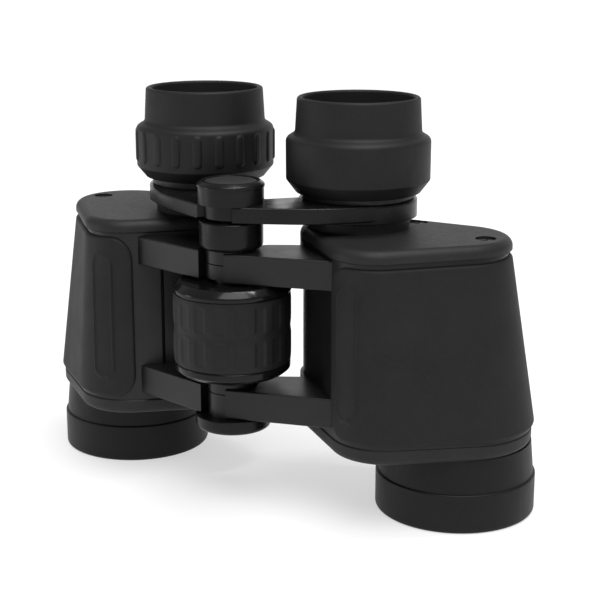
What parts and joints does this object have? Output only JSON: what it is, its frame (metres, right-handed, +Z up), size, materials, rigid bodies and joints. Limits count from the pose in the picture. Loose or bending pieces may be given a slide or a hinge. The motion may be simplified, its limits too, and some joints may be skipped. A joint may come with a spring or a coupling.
{
  "type": "astronomy binoculars",
  "caption": "Porro-prism binoculars with folding halves, a geared focus wheel, a sliding eyepiece bridge and a diopter ring.",
  "frame": {"origin": "centre of the footprint at table height, on the plane of the two objective rims", "axes": "+Z up from the objective rims to the eyecups; +X towards the user's left half; -Y is the side that faces up in use, where the centre axle sits"},
  "size_m": [0.163, 0.0714, 0.1196],
  "materials": {
    "housing_paint": "satin black paint on die-cast",
    "armor_rubber": "matte soft-touch rubber",
    "plate_black": "fine matte black",
    "screw_black": "blackened steel",
    "barrel_black": "matte black",
    "cell_black": "black anodised",
    "objective_glass": "coated glass",
    "eyepiece_glass": "coated glass",
    "prism_glass": "clear glass",
    "shelf_metal": "die-cast, bare",
    "spring_steel": "spring steel",
    "bridge_paint": "satin black paint",
    "cup_rubber": "matte rubber",
    "collar_black": "matte black",
    "cap_disc": "dark grey satin",
    "axle_steel": "turned steel",
    "nut_brass": "turned brass",
    "wheel_gloss": "gloss black",
    "grip_rubber": "matte rubber"
  },
  "bodies": {
    "left_half": {"left_prism_housing": "housing_paint", "left_armor": "armor_rubber", "left_eyepiece_plate": "plate_black", "left_cover_screws": "screw_black", "left_objective_plate": "plate_black", "left_objective_tube": "barrel_black", "left_objective_ring": "barrel_black", "left_objective_crown_lens": "objective_glass", "left_objective_flint_lens": "objective_glass", "left_objective_retainer": "cell_black", "left_prism_shelf": "shelf_metal", "left_upper_prism": "prism_glass", "left_lower_prism": "prism_glass", "left_upper_prism_clip": "spring_steel", "left_lower_prism_clip": "spring_steel", "hinge_axle": "axle_steel", "hinge_sleeve": "bridge_paint", "front_hinge_cap": "bridge_paint"},
    "right_half": {"right_prism_housing": "housing_paint", "right_armor": "armor_rubber", "right_eyepiece_plate": "plate_black", "right_cover_screws": "screw_black", "right_objective_plate": "plate_black", "right_objective_tube": "barrel_black", "right_objective_ring": "barrel_black", "right_objective_crown_lens": "objective_glass", "right_objective_flint_lens": "objective_glass", "right_objective_retainer": "cell_black", "right_prism_shelf": "shelf_metal", "right_upper_prism": "prism_glass", "right_lower_prism": "prism_glass", "right_upper_prism_clip": "spring_steel", "right_lower_prism_clip": "spring_steel"},
    "focus_wheel": {"focus_wheel_hub": "wheel_gloss", "focus_wheel_grip": "grip_rubber", "focus_wheel_upper_flange": "wheel_gloss", "focus_wheel_lower_flange": "wheel_gloss"},
    "left_bridge": {"left_bridge_arm": "bridge_paint", "focus_rod": "axle_steel", "focus_pin": "axle_steel", "focus_nut": "nut_brass", "bridge_cap": "bridge_paint", "bridge_cap_disc": "cap_disc", "left_eyepiece_tube": "cell_black", "left_eyepiece_collar": "collar_black", "left_eyecup": "cup_rubber", "left_lens_cell": "cell_black", "left_eye_lens": "eyepiece_glass", "left_eye_lens_retainer": "cell_black", "left_field_lens": "eyepiece_glass", "left_field_lens_retainer": "cell_black"},
    "right_bridge": {"right_bridge_arm": "bridge_paint", "right_eyepiece_tube": "cell_black", "right_field_lens": "eyepiece_glass", "right_field_lens_retainer": "cell_black"},
    "right_eye_lens": {"right_lens_cell": "cell_black", "right_eye_lens": "eyepiece_glass", "right_eye_lens_retainer": "cell_black"},
    "diopter": {"right_diopter_ring": "collar_black", "right_eyecup": "cup_rubber"}
  },
  "joints": [
    {"name": "fold", "type": "hinge", "parent": "left_half", "child": "right_half", "pos_m": [0, -0.0185, 0.06], "axis": [0, 0, 1], "range_deg": [0, 52]},
    {"name": "focus_turn", "type": "hinge", "parent": "left_half", "child": "focus_wheel", "pos_m": [0, -0.0185, 0.0546], "axis": [0, 0, -1], "range_deg": [0, 400]},
    {"name": "left_bridge_slide", "type": "slide", "parent": "left_half", "child": "left_bridge", "axis": [0, 0, 1], "range_m": [0, 0.008]},
    {"name": "right_bridge_slide", "type": "slide", "parent": "right_half", "child": "right_bridge", "axis": [0, 0, 1], "range_m": [0, 0.008]},
    {"name": "diopter_turn", "type": "hinge", "parent": "right_bridge", "child": "diopter", "pos_m": [-0.0265, 0.0086, 0.1], "axis": [0, 0, 1], "range_deg": [-90, 90]},
    {"name": "right_eye_lens_slide", "type": "slide", "parent": "right_bridge", "child": "right_eye_lens", "axis": [0, 0, 1], "range_m": [-0.0015, 0.0015]}
  ],
  "couplings": [
    {"joint": "focus_turn", "follows": "left_bridge_slide", "rad_per_m": 872.6},
    {"joint": "right_bridge_slide", "follows": "left_bridge_slide", "ratio": 1},
    {"joint": "right_eye_lens_slide", "follows": "diopter_turn", "m_per_rad": 0.00095}
  ]
}
